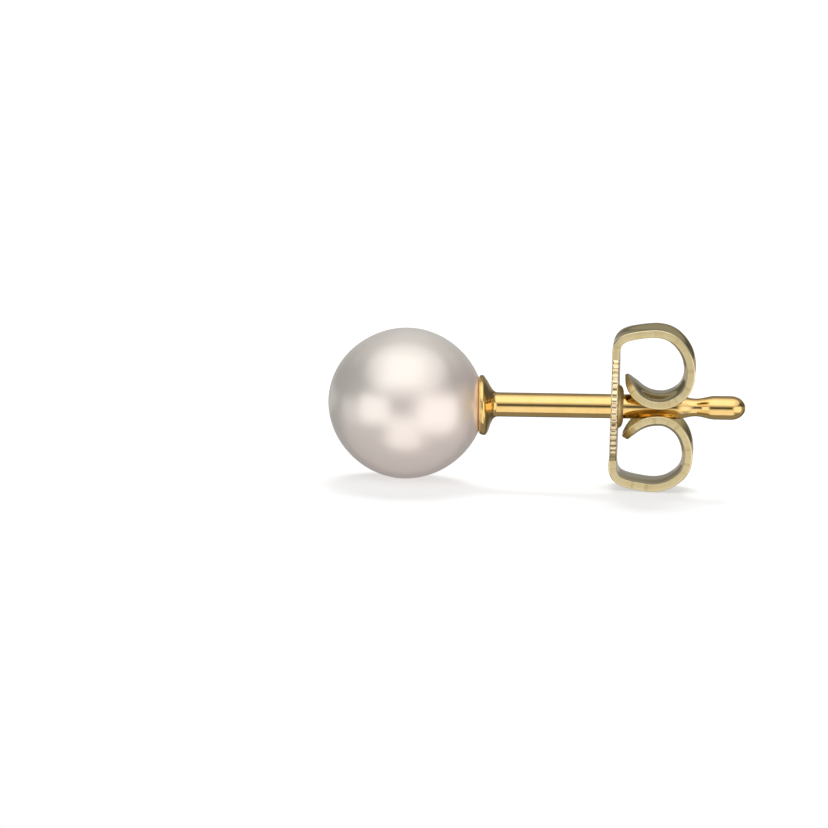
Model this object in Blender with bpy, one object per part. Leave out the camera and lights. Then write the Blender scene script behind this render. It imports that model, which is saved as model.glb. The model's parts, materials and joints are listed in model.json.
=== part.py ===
"""A pearl stud earring with its scrolled ear nut pushed on, lying on a flat surface.

Everything is modelled about the post: its axis is the local X axis, with the pearl's
middle at the local origin and the tip of the post at +X. An empty carries the three
pieces and leans them as the earring lies by itself, on the pearl and on the lower scroll
of the ear nut, so that the lowest points are at Z = 0. Lengths are in metres.
"""

import math

import bpy
from mathutils import Matrix, Vector

MM = 0.001

# Pearl: a little longer along the post than across it
PEARL_HALF_LENGTH = 3.09 * MM
PEARL_RADIUS = 3.00 * MM
DRILL_DEPTH = 3.00 * MM
GLUE_GAP = 0.05 * MM

# Post, cup and the peg that the pearl is glued to, soldered into one
PEG_RADIUS = 0.35 * MM
PEG_LENGTH = 2.60 * MM
CUP_RADIUS = 1.20 * MM
CUP_RIM = 0.21 * MM
CUP_FLARE = 0.58 * MM
POST_RADIUS = 0.465 * MM
POST_LENGTH = 10.49 * MM
GROOVE_DEPTH = 0.135 * MM
GROOVE_LENGTH = 1.02 * MM
GROOVE_FROM_TIP = 1.96 * MM
NOSE_LENGTH = 0.58 * MM

# Ear nut: one stamped strip, a round plate with a wing scrolled up from either side.
# The channel along a wing is pressed deeper on the side that faces the post than it
# stands up on the other side.
SHEET = 0.31 * MM
PLATE_RADIUS = 2.40 * MM
WING_WIDTH = 2.84 * MM
WING_RISE = 2.73 * MM
NUT_DEPTH = 3.34 * MM
CHANNEL = 0.35 * MM
RIDGE = 0.17 * MM
NUT_GAP = 0.04 * MM
NUT_SEAT = 8.20 * MM
NUT_LEAN = math.radians(1.3)

# Dimple pressed through the plate round the post's hole
DIMPLE_MOUTH = 0.80 * MM
COLLAR_RADIUS = 0.90 * MM
COLLAR_WALL = 0.13 * MM
COLLAR_RISE = 0.20 * MM

# A wing's cut edge seen from its side, from the plate round to the free end by the post.
# reach: share of the nut's depth, behind the plate. rise: share of the wing's rise,
# away from the post. width: share of the wing's width. press: share of the channel's
# full depth and of its ridge's.
WING_ROWS = (
    # reach, rise, width, press
    (0.000, 0.590, 0.86, 0.00),
    (0.000, 0.715, 0.86, 0.03),
    (0.018, 0.803, 0.86, 0.06),
    (0.068, 0.868, 0.86, 0.10),
    (0.147, 0.920, 0.86, 0.14),
    (0.262, 0.965, 0.86, 0.18),
    (0.430, 0.992, 0.86, 0.22),
    (0.550, 1.000, 0.87, 0.26),
    (0.700, 0.967, 0.88, 0.32),
    (0.833, 0.880, 0.90, 0.39),
    (0.948, 0.735, 0.92, 0.47),
    (1.000, 0.550, 0.94, 0.55),
    (0.990, 0.360, 0.97, 0.66),
    (0.930, 0.200, 0.99, 0.78),
    (0.830, 0.087, 1.00, 0.90),
    (0.700, 0.015, 1.00, 0.98),
    (0.600, 0.000, 1.00, 1.00),
    (0.450, 0.020, 1.00, 0.98),
    (0.322, 0.090, 0.99, 0.86),
    (0.260, 0.160, 0.95, 0.70),
    (0.218, 0.225, 0.82, 0.50),
    (0.196, 0.270, 0.60, 0.30),
    (0.186, 0.300, 0.32, 0.10),
)

# How finely the round shapes are divided
PEARL_SIDES = 40
PEARL_RINGS = 22
POST_SIDES = 32
HOLE_SIDES = 40
RIM_RINGS = 7
FLARE_RINGS = 6
GROOVE_RINGS = 10
NOSE_RINGS = 6
PLATE_STEPS = 7
SPLINE_STEPS = 2
STRIP_COLUMNS = 8

# The plate's round edge and the wing's straight one meet in a soft corner, and the cup
# narrows to the post in a hollow curve
EDGE_BLEND = 6
FLARE_POWER = 1.6

# The search for the lean at which the earring rests
LARGEST_LEAN = math.radians(20)
LEAN_ROUNDS = 50


def remove_everything():
    """Empty the scene."""
    for thing in list(bpy.data.objects):
        bpy.data.objects.remove(thing, do_unlink=True)


def material(name, colour, metallic, roughness, coat=0.0):
    """Make a Principled material from a linear colour."""
    made = bpy.data.materials.new(name)
    made.use_nodes = True
    shader = made.node_tree.nodes["Principled BSDF"]
    shader.inputs["Base Color"].default_value = (*colour, 1.0)
    shader.inputs["Metallic"].default_value = metallic
    shader.inputs["Roughness"].default_value = roughness
    shader.inputs["Coat Weight"].default_value = coat
    made.diffuse_color = (*colour, 1.0)
    return made


def add_object(name, points, faces, surface, parent):
    """Make an object from points and faces, smooth but for its sharp edges."""
    mesh = bpy.data.meshes.new(name)
    mesh.from_pydata(points, [], faces)
    mesh.shade_smooth()
    mesh.set_sharp_from_angle(angle=math.radians(35))
    mesh.validate()
    made = bpy.data.objects.new(name, mesh)
    bpy.context.collection.objects.link(made)
    made.parent = parent
    if surface:
        mesh.materials.append(surface)
    return made


def turned(profile, sides):
    """Turn a profile about the X axis.

    profile is a list of (x, radius) that starts and ends on the axis, with the outside of
    the body on the left of its run. Returns the points and faces of a closed body.
    """
    points = [(profile[0][0], 0.0, 0.0)]
    rings = profile[1:-1]
    for x, radius in rings:
        for side in range(sides):
            turn = 2 * math.pi * side / sides
            points.append((x, radius * math.sin(turn), radius * math.cos(turn)))
    points.append((profile[-1][0], 0.0, 0.0))
    last = len(points) - 1
    faces = []
    for side in range(sides):
        after = (side + 1) % sides
        faces.append((0, 1 + side, 1 + after))
        for ring in range(len(rings) - 1):
            here = 1 + ring * sides
            there = here + sides
            faces.append((here + side, there + side, there + after, here + after))
        end = 1 + (len(rings) - 1) * sides
        faces.append((last, end + after, end + side))
    return points, faces


def pearl_face(radius):
    """How far along the post the pearl's surface is, at a radius from the axis."""
    return PEARL_HALF_LENGTH * math.sqrt(1 - (radius / PEARL_RADIUS) ** 2)


def pearl_profile():
    """The pearl from its far end round to the drilled hole and down to the hole's end."""
    hole = PEG_RADIUS + GLUE_GAP
    mouth = math.asin(hole / PEARL_RADIUS)
    profile = []
    for ring in range(PEARL_RINGS + 1):
        turn = math.pi - (math.pi - mouth) * ring / PEARL_RINGS
        profile.append((PEARL_HALF_LENGTH * math.cos(turn), PEARL_RADIUS * math.sin(turn)))
    floor = PEARL_HALF_LENGTH - DRILL_DEPTH
    profile.append((floor + hole / 2, hole))
    profile.append((floor, 0.0))
    return profile


def stud_profile():
    """Peg, cup, post, groove and nose, from the peg's end to the tip."""
    seat = pearl_face(PEG_RADIUS) + GLUE_GAP
    peg_end = seat - PEG_LENGTH
    chamfer = PEG_RADIUS / 4
    profile = [(peg_end, 0.0), (peg_end, PEG_RADIUS - chamfer), (peg_end + chamfer, PEG_RADIUS)]

    bead = CUP_RIM / 2
    bead_radius = CUP_RADIUS - bead
    bead_x = pearl_face(bead_radius) + GLUE_GAP + bead
    for share in (0.0, 0.35, 0.7, 1.0):
        radius = PEG_RADIUS + share * (bead_radius - bead - PEG_RADIUS)
        profile.append((pearl_face(radius) + GLUE_GAP, radius))
    for ring in range(RIM_RINGS + 1):
        turn = math.pi * (1 - ring / RIM_RINGS)
        profile.append((bead_x + bead * math.cos(turn), bead_radius + bead * math.sin(turn)))

    flare_x = bead_x + bead
    flare_rise = bead_radius - POST_RADIUS
    for ring in range(1, FLARE_RINGS + 1):
        share = ring / FLARE_RINGS
        radius = POST_RADIUS + flare_rise * (1 - share) ** FLARE_POWER
        profile.append((flare_x + CUP_FLARE * share, radius))

    tip = PEARL_HALF_LENGTH + POST_LENGTH
    groove_middle = tip - GROOVE_FROM_TIP
    for ring in range(GROOVE_RINGS + 1):
        along = ring / GROOVE_RINGS - 0.5
        radius = POST_RADIUS - GROOVE_DEPTH * (1 + math.cos(2 * math.pi * along)) / 2
        profile.append((groove_middle + GROOVE_LENGTH * along, radius))
    for ring in range(NOSE_RINGS):
        turn = math.pi / 2 * ring / NOSE_RINGS
        x = tip - NOSE_LENGTH * (1 - math.sin(turn))
        profile.append((x, POST_RADIUS * math.cos(turn)))
    profile.append((tip, 0.0))
    return profile


def through(rows, steps):
    """A smooth run through the rows, with so many steps from each row to the next."""
    padded = [rows[0], *rows, rows[-1]]
    run = []
    for index in range(len(rows) - 1):
        before, start, end, after = padded[index : index + 4]
        for step in range(steps):
            t = step / steps
            run.append(
                tuple(
                    0.5
                    * (
                        2 * b
                        + (c - a) * t
                        + (2 * a - 5 * b + 4 * c - d) * t**2
                        + (3 * b - a - 3 * c + d) * t**3
                    )
                    for a, b, c, d in zip(before, start, end, after)
                )
            )
    run.append(rows[-1])
    return run


def touching_height():
    """How far a wing's edge is from the axis beside the place where it meets the post.

    The leaning nut carries its upper wing towards the post, so the gap is set there.
    """
    touch = min(WING_ROWS, key=lambda row: row[1])
    lowered = touch[0] * NUT_DEPTH * math.sin(NUT_LEAN)
    return POST_RADIUS + NUT_GAP + SHEET / 2 - CHANNEL * touch[3] + lowered


def wing_stations():
    """Half the strip, from the plate's middle to a wing's free end.

    Each station is (x, z, width, press) of the cut edge's middle, in the nut's own frame.
    """
    foot = touching_height()
    rows = []
    for reach, rise, width, press in WING_ROWS:
        x = SHEET / 2 + reach * (NUT_DEPTH - SHEET)
        rows.append((x, foot + rise * WING_RISE, width * WING_WIDTH, press))
    plate_end = rows[0][1]
    plate_width = rows[0][2]
    stations = []
    for step in range(PLATE_STEPS):
        z = plate_end * step / PLATE_STEPS
        stations.append((SHEET / 2, z, plate_width, 0.0))
    stations += through(rows, SPLINE_STEPS)
    rounded = []
    for x, z, width, press in stations:
        on_plate = max(0.0, PLATE_RADIUS**2 - z**2) if x < SHEET else 0.0
        disc = 2 * math.sqrt(on_plate)
        blended = (width**EDGE_BLEND + disc**EDGE_BLEND) ** (1 / EDGE_BLEND)
        rounded.append((x, z, blended, press))
    return rounded


def strip_sections():
    """The whole strip from the upper wing's free end to the lower wing's.

    Each section is (x, z, out_x, out_z, width, press), with out the direction to the
    outside of the bend, which is the front of the plate.
    """
    upper = wing_stations()
    lower = [(x, -z, width, press) for x, z, width, press in upper[1:]]
    run = upper[::-1] + lower
    sections = []
    for index, (x, z, width, press) in enumerate(run):
        ahead = run[min(index + 1, len(run) - 1)]
        behind = run[max(index - 1, 0)]
        along = Vector((ahead[0] - behind[0], ahead[1] - behind[1])).normalized()
        sections.append((x, z, along.y, -along.x, width, press))
    return sections


def strip_mesh():
    """Points and faces of the strip, a closed sheet with a channel along its wings."""
    points = []
    outside = (SHEET / 2, CHANNEL, range(STRIP_COLUMNS + 1))
    inside = (-SHEET / 2, RIDGE, range(STRIP_COLUMNS, -1, -1))
    for x, z, out_x, out_z, width, press in strip_sections():
        for surface, depth, columns in (outside, inside):
            for column in columns:
                across = 2 * column / STRIP_COLUMNS - 1
                out = surface - depth * press * (1 - across**2)
                points.append((x + out_x * out, across * width / 2, z + out_z * out))
    round_about = 2 * (STRIP_COLUMNS + 1)
    count = len(points) // round_about
    faces = []
    for section in range(count - 1):
        here = section * round_about
        there = here + round_about
        for corner in range(round_about):
            after = (corner + 1) % round_about
            faces.append((here + corner, here + after, there + after, there + corner))
    for column in range(STRIP_COLUMNS):
        left = column
        right = column + 1
        under_left = round_about - 1 - left
        under_right = round_about - 1 - right
        faces.append((left, under_left, under_right, right))
        end = (count - 1) * round_about
        faces.append((end + left, end + right, end + under_right, end + under_left))
    return points, faces


def add_boolean(piece, operation, other):
    """Cut or join a piece with another solid, which stays out of the model."""
    other.hide_render = True
    other.display_type = "WIRE"
    step = piece.modifiers.new(other.name, "BOOLEAN")
    step.operation = operation
    step.solver = "EXACT"
    step.object = other


def add_ear_nut(surface, parent):
    """The ear nut, with its origin where the post's axis crosses the plate's front."""
    points, faces = strip_mesh()
    nut = add_object("ear_nut", points, faces, surface, parent)
    nut.location = (NUT_SEAT, 0.0, 0.0)
    nut.rotation_euler = (0.0, NUT_LEAN, 0.0)

    hole = POST_RADIUS + NUT_GAP
    back = SHEET + COLLAR_RISE
    collar_profile = [
        (SHEET / 2, 0.0),
        (SHEET / 2, COLLAR_RADIUS),
        (SHEET, COLLAR_RADIUS),
        (SHEET + COLLAR_RISE / 3, COLLAR_RADIUS - COLLAR_WALL / 2),
        (back, hole + COLLAR_WALL),
        (back, 0.0),
    ]
    cutter_profile = [
        (-SHEET, 0.0),
        (-SHEET, DIMPLE_MOUTH),
        (0.0, DIMPLE_MOUTH),
        (SHEET / 4, (DIMPLE_MOUTH + hole) / 2),
        (SHEET, hole),
        (back + SHEET, hole),
        (back + SHEET, 0.0),
    ]
    collar = add_object("collar_guide", *turned(collar_profile, HOLE_SIDES), None, nut)
    cutter = add_object("hole_cutter", *turned(cutter_profile, HOLE_SIDES), None, nut)
    add_boolean(nut, "UNION", collar)
    add_boolean(nut, "DIFFERENCE", cutter)
    return nut


def placed_points(piece, lean):
    """A piece's points with the whole earring leaned, its tip rising as the lean grows."""
    placing = Matrix.Rotation(-lean, 4, "Y") @ piece.matrix_basis
    return [placing @ vertex.co for vertex in piece.data.vertices]


def lowest(piece, lean):
    """The height of a piece's lowest point."""
    return min(point.z for point in placed_points(piece, lean))


def resting_lean(pearl, nut):
    """The lean at which the pearl and the nut's lower scroll reach equally low."""
    low, high = -LARGEST_LEAN, LARGEST_LEAN
    for _ in range(LEAN_ROUNDS):
        middle = (low + high) / 2
        if lowest(nut, middle) < lowest(pearl, middle):
            low = middle
        else:
            high = middle
    return (low + high) / 2


def lay_down(stand, pieces, lean):
    """Lean the earring and set the middle of its underside at the world's origin."""
    points = [point for piece in pieces for point in placed_points(piece, lean)]
    xs = [point.x for point in points]
    ys = [point.y for point in points]
    floor = min(point.z for point in points)
    stand.rotation_euler = (0.0, -lean, 0.0)
    stand.location = (-(min(xs) + max(xs)) / 2, -(min(ys) + max(ys)) / 2, -floor)


def main():
    """Build the earring and lay it down."""
    remove_everything()
    nacre = material("nacre", (0.80, 0.74, 0.66), 0.0, 0.22, coat=0.6)
    post_gold = material("post_gold", (0.86, 0.60, 0.24), 1.0, 0.16)
    nut_gold = material("nut_gold", (0.66, 0.57, 0.38), 1.0, 0.28)

    stand = bpy.data.objects.new("earring", None)
    bpy.context.collection.objects.link(stand)
    pearl = add_object("pearl", *turned(pearl_profile(), PEARL_SIDES), nacre, stand)
    stud = add_object("post_and_cup", *turned(stud_profile(), POST_SIDES), post_gold, stand)
    nut = add_ear_nut(nut_gold, stand)
    lay_down(stand, (pearl, stud, nut), resting_lean(pearl, nut))


main()
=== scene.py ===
import json
import logging
import math
from collections.abc import Callable
from dataclasses import dataclass, field
from enum import Enum

import bpy
import numpy as np
from mathutils import Matrix, Vector


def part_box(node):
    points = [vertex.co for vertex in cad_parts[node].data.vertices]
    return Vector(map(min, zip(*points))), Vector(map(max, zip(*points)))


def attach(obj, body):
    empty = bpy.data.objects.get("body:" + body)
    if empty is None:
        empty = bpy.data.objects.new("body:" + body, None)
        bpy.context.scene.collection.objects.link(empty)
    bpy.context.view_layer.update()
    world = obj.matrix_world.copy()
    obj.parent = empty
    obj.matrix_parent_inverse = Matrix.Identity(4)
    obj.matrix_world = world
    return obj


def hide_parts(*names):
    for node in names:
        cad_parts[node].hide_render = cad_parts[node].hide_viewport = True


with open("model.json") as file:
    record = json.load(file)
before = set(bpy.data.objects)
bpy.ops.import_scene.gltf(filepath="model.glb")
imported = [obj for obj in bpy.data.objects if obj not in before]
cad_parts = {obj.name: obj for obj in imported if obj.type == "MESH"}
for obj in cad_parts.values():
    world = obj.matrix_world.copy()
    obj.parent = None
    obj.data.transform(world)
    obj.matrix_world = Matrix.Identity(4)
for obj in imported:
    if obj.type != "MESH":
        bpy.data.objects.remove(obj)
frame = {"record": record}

MM = 0.001
log = logging.getLogger("earring")

Profile = list[tuple[float, float]]
Colour = tuple[float, float, float]


class Body(Enum):
    """The bodies of the moving model."""

    STUD = "stud"
    NUT = "nut"


class Slot(Enum):
    """The record's material slots."""

    NACRE = "nacre"
    POST_GOLD = "post_gold"
    NUT_GOLD = "nut_gold"


class NutFace(Enum):
    """Which finish a face of the ear nut has, as its place in the mesh's materials."""

    SHEET = 0
    CUT_EDGE = 1
    RIM = 2


class Bench:
    """One node tree, with short ways to add the nodes that a finish needs."""

    def __init__(self, tree: bpy.types.NodeTree) -> None:
        """Start with an empty tree.

        Args:
            tree: the node tree to fill.
        """
        self.tree = tree
        tree.nodes.clear()

    def add(self, kind: str, inputs: dict | None = None, **settings: object) -> bpy.types.Node:
        """Add a node.

        Args:
            kind: the node's type, without its common first part.
            inputs: a value or another node's output for each named or numbered input.
            settings: the node's own settings.

        Returns:
            The node.
        """
        node = self.tree.nodes.new("ShaderNode" + kind)
        for name, value in settings.items():
            setattr(node, name, value)
        for name, value in (inputs or {}).items():
            socket = node.inputs[name]
            if isinstance(value, bpy.types.NodeSocket):
                self.tree.links.new(value, socket)
            else:
                socket.default_value = value
        return node

    def maths(self, operation: str, *values: object) -> bpy.types.NodeSocket:
        """Add a Math node.

        Args:
            operation: its operation.
            values: its inputs, in order.

        Returns:
            Its output.
        """
        node = self.add("Math", dict(enumerate(values)), operation=operation)
        return node.outputs[0]

    def local(self) -> bpy.types.NodeSocket:
        """The place on the piece in its own frame, in millimetres."""
        return self.add("Attribute", attribute_name="local").outputs["Vector"]

    def stretched(self, scale: tuple[float, float, float]) -> bpy.types.NodeSocket:
        """Give the place on the piece, stretched.

        Args:
            scale: how much closer a pattern lies along each of the piece's own axes.

        Returns:
            The stretched place.
        """
        inputs = {0: self.local(), 1: scale}
        return self.add("VectorMath", inputs, operation="MULTIPLY").outputs[0]

    def noise(self, place: bpy.types.NodeSocket, scale: float, detail: float = 2.0,
              rough: float = 0.5, twist: float = 0.0) -> bpy.types.NodeSocket:
        """Add a noise.

        Args:
            place: where to read it.
            scale: how many times a millimetre it changes.
            detail: how many finer layers it has.
            rough: how strong the finer layers are.
            twist: how much it is distorted.

        Returns:
            A value round 0.5.
        """
        inputs = {"Vector": place, "Scale": scale, "Detail": detail, "Roughness": rough,
                  "Distortion": twist}
        return self.add("TexNoise", inputs).outputs["Fac"]

    def ranged(self, value: bpy.types.NodeSocket, low: float, high: float,
               to_low: float = 0.0, to_high: float = 1.0,
               kind: str = "SMOOTHSTEP") -> bpy.types.NodeSocket:
        """Carry a value from one range to another.

        Args:
            value: what to carry.
            low: where its range starts.
            high: where its range ends.
            to_low: what its start becomes.
            to_high: what its end becomes.
            kind: how it goes from one to the other.

        Returns:
            The carried value.
        """
        inputs = {0: value, 1: low, 2: high, 3: to_low, 4: to_high}
        return self.add("MapRange", inputs, interpolation_type=kind).outputs[0]

    def mixed(self, share: object, first: object, second: object) -> bpy.types.NodeSocket:
        """Mix two colours.

        Args:
            share: how much of the second one shows.
            first: a colour or an output.
            second: a colour or an output.

        Returns:
            The mixed colour.
        """
        full = [(*c, 1.0) if isinstance(c, tuple) else c for c in (first, second)]
        node = self.add("Mix", {0: share, 6: full[0], 7: full[1]}, data_type="RGBA")
        return node.outputs[2]

    def bump(self, height: object, distance: float, strength: float = 1.0,
             under: bpy.types.NodeSocket | None = None) -> bpy.types.NodeSocket:
        """Add a relief.

        Args:
            height: its height, from 0 to 1.
            distance: how high 1 is, in metres.
            strength: how much of it shows.
            under: a relief that it lies on.

        Returns:
            The normal of the relief.
        """
        inputs = {"Height": height, "Distance": distance, "Strength": strength}
        if under is not None:
            inputs["Normal"] = under
        return self.add("Bump", inputs).outputs[0]

    def finish(self, inputs: dict) -> None:
        """End the tree in a Principled shader.

        Args:
            inputs: the shader's inputs.
        """
        shader = self.add("BsdfPrincipled", inputs)
        self.add("OutputMaterial", {"Surface": shader.outputs[0]})


@dataclass(frozen=True)
class Finish:
    """What every finish has: a name, its two colours and how rough it is."""

    name: str
    colour: Colour
    other_colour: Colour
    roughness: float

    def bench(self) -> tuple[bpy.types.Material, Bench]:
        """Start the material.

        Returns:
            The material and the bench that fills it.
        """
        made = bpy.data.materials.new(self.name)
        made.use_nodes = True
        made.diffuse_color = (*self.colour, 1.0)
        return made, Bench(made.node_tree)


@dataclass(frozen=True)
class Nacre(Finish):
    """A pearl's skin: layers that mirror softly, with the nacre's own tone drifting over it and a
    painted tint, pinker low and towards the cup, of warm bounce and the cup's gold reflection.
    """

    metallic: float = 0.50
    coat: float = 0.3

    def build(self) -> bpy.types.Material:
        """Make the material: drifting tone, clouds, a painted tint of warm bounce and of the
        cup's gold reflection, and a soft uneven lustre.

        Returns:
            The material.
        """
        made, bench = self.bench()
        place = bench.local()
        clouds = bench.noise(place, 0.33, 3.0, 0.55, 0.6)
        drift = bench.noise(bench.stretched((0.5, 1.0, 1.0)), 0.9, 3.0, 0.5, 0.8)
        # Painted tint: pinker low and towards the cup, greener up and to the left. It stands in
        # for the warm bounce from below and the gold cup's reflection.
        painted_bounce_tint = bench.add("VectorMath", {0: place, 1: (0.13, 0.0, -0.20)},
                          operation="DOT_PRODUCT").outputs["Value"]
        # The pearl's own random clouds of colour, plus the painted tint.
        clouds_and_painted_tint = bench.maths("ADD", painted_bounce_tint, clouds)
        skin = bench.mixed(bench.ranged(clouds_and_painted_tint, -0.1, 1.1), self.other_colour, self.colour)
        greyer = tuple(0.93 * c for c in self.colour)
        skin = bench.mixed(bench.ranged(drift, 0.5, 0.75, 0.0, 0.3), skin, greyer)
        bench.finish({
            "Base Color": skin,
            "Metallic": self.metallic,
            "Roughness": bench.ranged(drift, 0.3, 0.7, self.roughness - 0.02,
                                      self.roughness + 0.03),
            "IOR": 2.2,
            "Coat Weight": self.coat,
            "Coat Roughness": 0.2,
            "Coat IOR": 1.5,
        })
        return made


@dataclass(frozen=True)
class PolishedGold(Finish):
    """Polished yellow gold with the fine lines of its turning and a few handling marks."""

    def build(self) -> bpy.types.Material:
        """Make the material: turning lines round the post, small scratches, dull specks.

        Returns:
            The material.
        """
        made, bench = self.bench()
        lines = bench.noise(bench.stretched((26.0, 0.6, 0.6)), 1.0, 3.0, 0.6)
        scratches = bench.noise(bench.stretched((0.9, 16.0, 16.0)), 1.0, 2.0, 0.6, 0.8)
        patches = bench.noise(bench.local(), 1.7, 3.0, 0.6, 0.4)
        specks = bench.ranged(bench.noise(bench.local(), 9.0, 1.0), 0.70, 0.78)
        skin = bench.mixed(bench.ranged(patches, 0.35, 0.7), self.colour, self.other_colour)
        dull = bench.maths("MAXIMUM", bench.ranged(patches, 0.5, 0.8, 0.0, 0.05),
                           bench.maths("MULTIPLY", specks, 0.17))
        relief = bench.bump(lines, 0.0005 * MM, 0.5)
        relief = bench.bump(bench.ranged(scratches, 0.62, 0.72), 0.0012 * MM, 0.35, relief)
        bench.finish({
            "Base Color": skin,
            "Metallic": 1.0,
            "Roughness": bench.maths("ADD", dull, self.roughness),
            "Normal": relief,
        })
        return made


@dataclass(frozen=True)
class StampedGold(Finish):
    """Paler gold of the nut's rolled sheet, tumbled bright, and dull where the post rubs."""

    wear: float = 0.52

    def build(self) -> bpy.types.Material:
        """Make the material: lines of the press along the strip, tumbling marks, dull folds.

        Returns:
            The material.
        """
        made, bench = self.bench()
        drawn = bench.noise(bench.stretched((1.2, 22.0, 1.0)), 1.0, 3.0, 0.6)
        tumbled = bench.noise(bench.local(), 5.0, 3.0, 0.55, 0.5)
        patches = bench.noise(bench.local(), 1.3, 2.0, 0.6)
        skin = bench.mixed(bench.ranged(patches, 0.35, 0.68), self.colour, self.other_colour)
        press = bench.add("Attribute", attribute_name="run").outputs["Vector"]
        worn = bench.ranged(bench.add("SeparateXYZ", {0: press}).outputs[1], 0.75, 0.95, 0.0,
                            self.wear)
        relief = bench.bump(drawn, 0.0008 * MM, 0.5)
        relief = bench.bump(tumbled, 0.0025 * MM, 0.5, relief)
        bench.finish({
            "Base Color": skin,
            "Metallic": 1.0,
            "Roughness": bench.maths("ADD", worn, bench.ranged(
                tumbled, 0.3, 0.75, self.roughness - 0.03, self.roughness + 0.07)),
            "Normal": relief,
        })
        return made


@dataclass(frozen=True)
class ShearedEdge(Finish):
    """The sheet's cut edge: satin, with the shear's fine lines across it."""

    lines: float = 5.0
    contrast: float = 0.5

    def build(self) -> bpy.types.Material:
        """Make the material: shear lines across the sheet and burnished stretches.

        Returns:
            The material.
        """
        made, bench = self.bench()
        run = bench.add("Attribute", attribute_name="run").outputs["Vector"]
        shear = bench.noise(run, self.lines, 2.0, 0.6)
        coarse = bench.noise(run, 1.3, 2.0, 0.5)
        grain = bench.noise(bench.local(), 12.0, 2.0, 0.6)
        skin = bench.mixed(bench.ranged(coarse, 0.38, 0.66), self.colour, self.other_colour)
        darker = tuple(c * d for c, d in zip(self.other_colour, (0.62, 0.55, 0.50)))
        ticks = bench.ranged(shear, 0.52, 0.64, 0.0, self.contrast)
        skin = bench.mixed(ticks, skin, darker)
        skin = bench.mixed(bench.ranged(grain, 0.55, 0.75, 0.0, 0.5 * self.contrast), skin,
                           darker)
        relief = bench.bump(shear, 0.010 * MM, 0.6)
        bench.finish({
            "Base Color": skin,
            "Metallic": 1.0,
            "Roughness": bench.ranged(shear, 0.3, 0.7, self.roughness - 0.04,
                                      self.roughness + 0.06),
            "Normal": relief,
        })
        return made


@dataclass(frozen=True)
class FloorPaint(Finish):
    """A plain white sweep that the studio's light evens out."""

    glow: float = 0.53

    def build(self) -> bpy.types.Material:
        """Make the material: white paper with a faint tooth, lifted by light from below.

        Returns:
            The material.
        """
        made, bench = self.bench()
        place = bench.add("TexCoord").outputs["Object"]
        tooth = bench.noise(place, 900.0, 3.0)
        bench.finish({
            "Base Color": bench.mixed(tooth, self.colour, self.other_colour),
            "Roughness": self.roughness,
            "Specular IOR Level": 0.1,
            "Emission Color": (1.0, 1.0, 1.0, 1.0),
            "Emission Strength": self.glow,
        })
        return made


@dataclass
class Placement:
    """Where the earring stands: its own frame has its origin in the pearl's middle and its
    x axis along the post."""

    half_length: float
    lean: float = field(init=False)
    matrix: Matrix = field(init=False)

    def __post_init__(self) -> None:
        """Read the post's direction and the pearl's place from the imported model."""
        axis = Vector(frame["record"]["behaviour"]["joints"][0]["axis"])
        low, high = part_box("pearl")
        self.lean = math.atan2(axis.z, axis.x)
        origin = Vector((low[0] + self.half_length * axis.x, 0.0, (low[2] + high[2]) / 2))
        self.matrix = Matrix.Translation(origin) @ Matrix.Rotation(-self.lean, 4, "Y")


def through(rows: np.ndarray, steps: int) -> np.ndarray:
    """Run smoothly through rows of numbers.

    Args:
        rows: the rows to go through.
        steps: how many steps there are from each row to the next.

    Returns:
        The finer rows.
    """
    padded = np.vstack([rows[:1], rows, rows[-1:]])
    a, b, c, d = (padded[k:len(padded) - 3 + k, None, :] for k in range(4))
    t = (np.arange(steps) / steps)[None, :, None]
    run = 0.5 * (2 * b + (c - a) * t + (2 * a - 5 * b + 4 * c - d) * t**2
                 + (3 * b - a - 3 * c + d) * t**3)
    return np.vstack([run.reshape(-1, rows.shape[1]), rows[-1:]])


def lathe(profile: Profile, sides: int) -> tuple[np.ndarray, list[tuple[int, ...]]]:
    """Turn a profile round the x axis.

    Args:
        profile: x and radius of each point; the first and last lie on the axis.
        sides: how many points go round.

    Returns:
        The points and the faces of a closed solid.
    """
    turn = 2 * np.pi * np.arange(sides) / sides
    rings = [np.column_stack([np.full(sides, x), r * np.sin(turn), r * np.cos(turn)])
             for x, r in profile[1:-1]]
    ends = [np.array([[profile[k][0], 0.0, 0.0]]) for k in (0, -1)]
    points = np.vstack([ends[0], *rings, ends[1]])
    last = len(points) - 1
    faces: list[tuple[int, ...]] = []
    for side in range(sides):
        after = (side + 1) % sides
        faces.append((0, 1 + side, 1 + after))
        for ring in range(len(rings) - 1):
            here = 1 + ring * sides
            there = here + sides
            faces.append((here + side, there + side, there + after, here + after))
        end = 1 + (len(rings) - 1) * sides
        faces.append((last, end + after, end + side))
    return points, faces


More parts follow.
